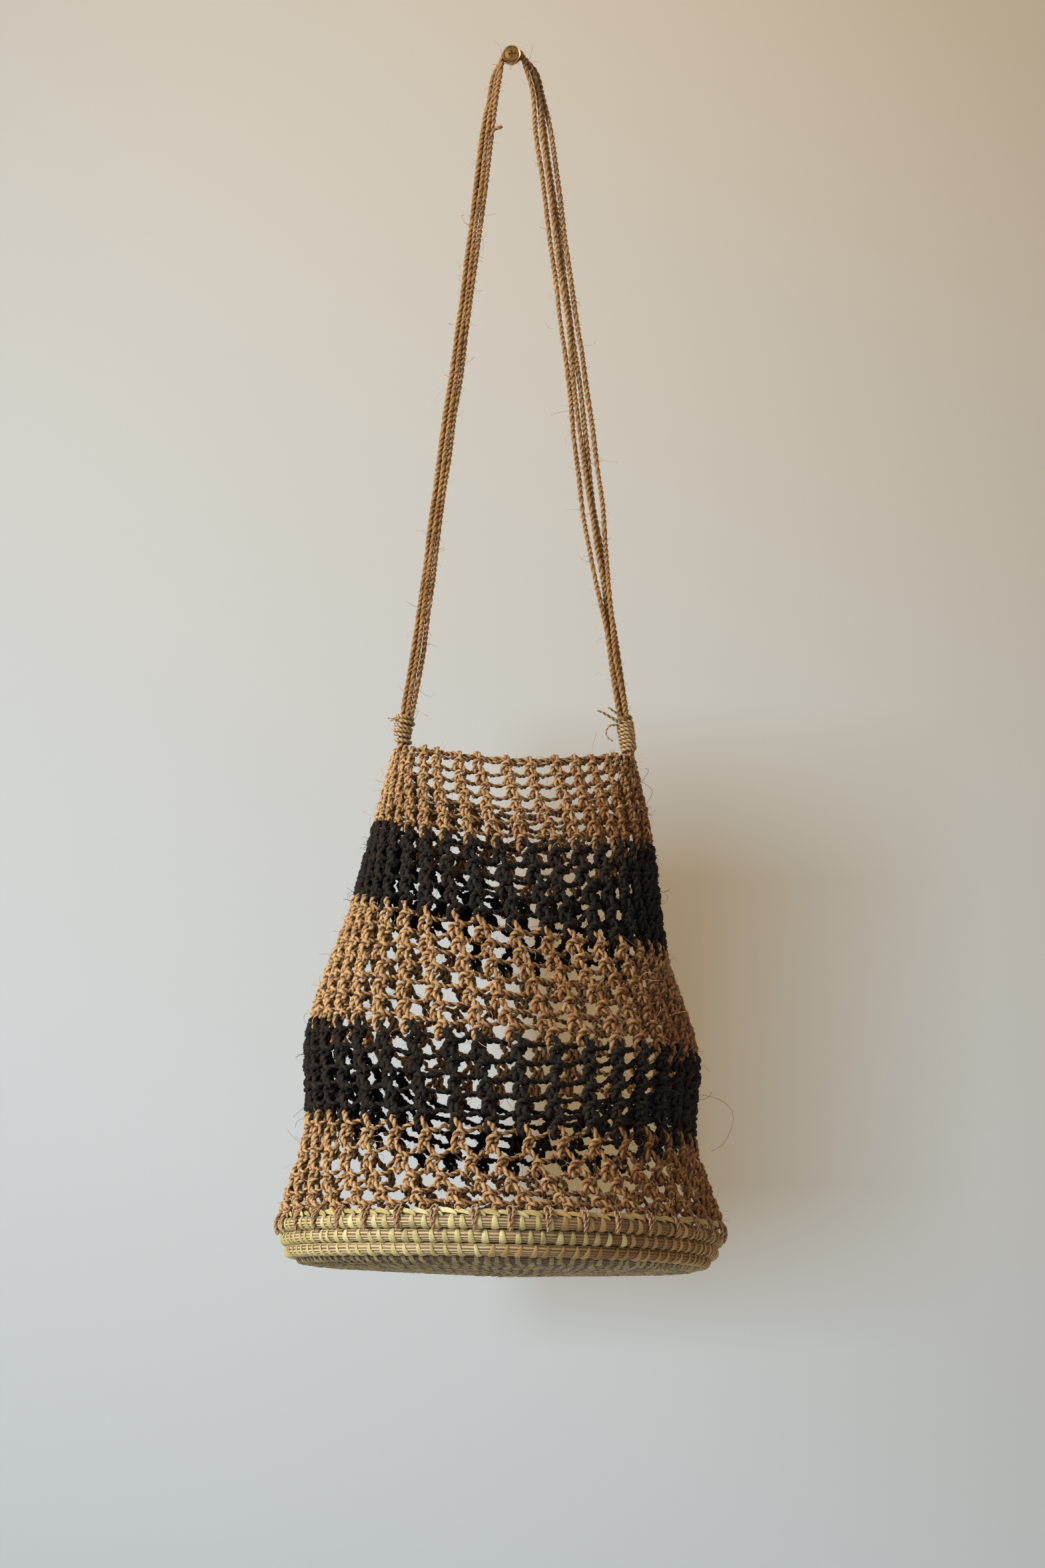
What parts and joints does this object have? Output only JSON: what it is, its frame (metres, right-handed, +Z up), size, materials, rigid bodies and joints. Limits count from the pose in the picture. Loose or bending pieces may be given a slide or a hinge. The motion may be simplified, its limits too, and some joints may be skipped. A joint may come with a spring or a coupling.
{
  "type": "string bag on a wall screw hook",
  "caption": "Looped net string bag with two dark bands on a coiled grass base, hung by a three-strand rope handle from a screw and cup washer.",
  "frame": {"origin": "middle of the screw's flat back end, where its axis meets the wall's face", "axes": "+Y into the wall along the screw's axis, +Z up, so the bag hangs on the -Y side of the wall plane y = 0"},
  "size_m": [0.2745, 0.2678, 0.8181],
  "materials": {
    "net_cord": "two-ply plant-fibre cord, tan, matt",
    "dyed_cord": "two-ply plant-fibre cord dyed near-black, matt",
    "handle_cord": "two-ply plant-fibre cord, tan, matt",
    "lashing_cord": "thin pale plant-fibre cord, matt",
    "coiled_grass": "coiled dry grass stitched with split straw, satin",
    "plated_steel": "yellow zinc plating, a little dull"
  },
  "bodies": {
    "root": {"net_tan_top": "net_cord", "net_black_upper": "dyed_cord", "net_tan_middle": "net_cord", "net_black_lower": "dyed_cord", "net_tan_lower": "net_cord", "coiled_base": "coiled_grass", "handle_strand_1": "handle_cord", "handle_strand_2": "handle_cord", "handle_strand_3": "handle_cord", "strand_stub": "handle_cord", "lashing_left": "lashing_cord", "lashing_right": "lashing_cord", "tail_left": "lashing_cord", "tail_right_long": "lashing_cord", "tail_right_short": "lashing_cord", "tail_right_hook": "lashing_cord", "screw": "plated_steel", "cup_washer": "plated_steel"}
  },
  "joints": []
}
